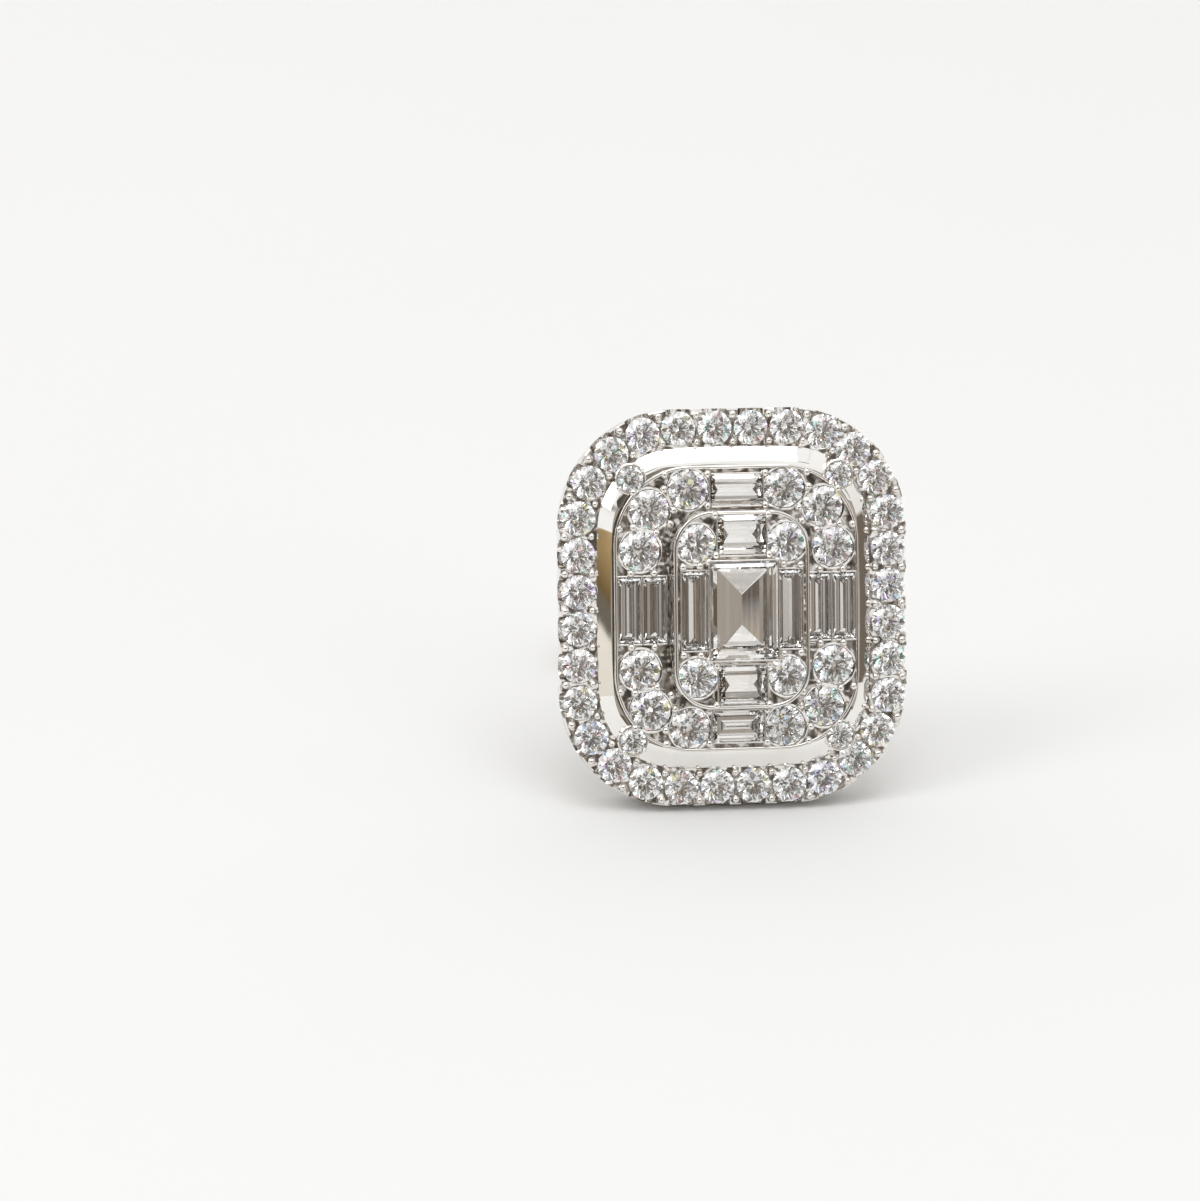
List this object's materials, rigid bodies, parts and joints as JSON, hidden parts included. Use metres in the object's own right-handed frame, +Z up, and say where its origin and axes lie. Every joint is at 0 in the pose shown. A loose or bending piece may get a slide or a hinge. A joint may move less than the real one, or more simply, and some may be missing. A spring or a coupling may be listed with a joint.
{
  "type": "halo cluster stud earring",
  "caption": "Stud earring: a tall rounded-rectangle halo of paved brilliants round a raised two-tier cluster of baguettes and rounds, with a straight post and a push-on back.",
  "frame": {"origin": "on the surface it stands on, under the middle of its bounding box", "axes": "+Z up; -Y is the way the stones face, leaning back; +Y is the way the post runs, dipping down; +X is to the right as the face is seen"},
  "size_m": [0.01, 0.0138, 0.0108],
  "materials": {
    "white_gold": "polished rhodium-bright white gold, bright-cut edges, fine file marks on the back",
    "back_metal": "polished white gold push-on back with light handling scratches",
    "pave_stone": "paved surface of small faceted round brilliants, colourless and very bright",
    "round_stone": "faceted round brilliants, colourless, with slight fire",
    "step_cut_stone": "step-cut baguettes, colourless with warm grey reflections, flat polished tables"
  },
  "bodies": {
    "root": {"setting": "white_gold", "friction_back": "back_metal", "halo_pave": "pave_stone", "inner_round_upper_right": "round_stone", "outer_round_1_upper_right": "round_stone", "outer_round_2_upper_right": "round_stone", "outer_round_3_upper_right": "round_stone", "bridge_stone_upper_right": "round_stone", "inner_round_upper_left": "round_stone", "outer_round_1_upper_left": "round_stone", "outer_round_2_upper_left": "round_stone", "outer_round_3_upper_left": "round_stone", "bridge_stone_upper_left": "round_stone", "inner_round_lower_left": "round_stone", "outer_round_1_lower_left": "round_stone", "outer_round_2_lower_left": "round_stone", "outer_round_3_lower_left": "round_stone", "bridge_stone_lower_left": "round_stone", "inner_round_lower_right": "round_stone", "outer_round_1_lower_right": "round_stone", "outer_round_2_lower_right": "round_stone", "outer_round_3_lower_right": "round_stone", "bridge_stone_lower_right": "round_stone", "centre_stone": "step_cut_stone", "flank_left": "step_cut_stone", "flank_right": "step_cut_stone", "side_left_1": "step_cut_stone", "side_left_2": "step_cut_stone", "side_right_1": "step_cut_stone", "side_right_2": "step_cut_stone", "bar_upper_inner": "step_cut_stone", "bar_upper_outer": "step_cut_stone", "bar_lower_inner": "step_cut_stone", "bar_lower_outer": "step_cut_stone"}
  },
  "joints": []
}
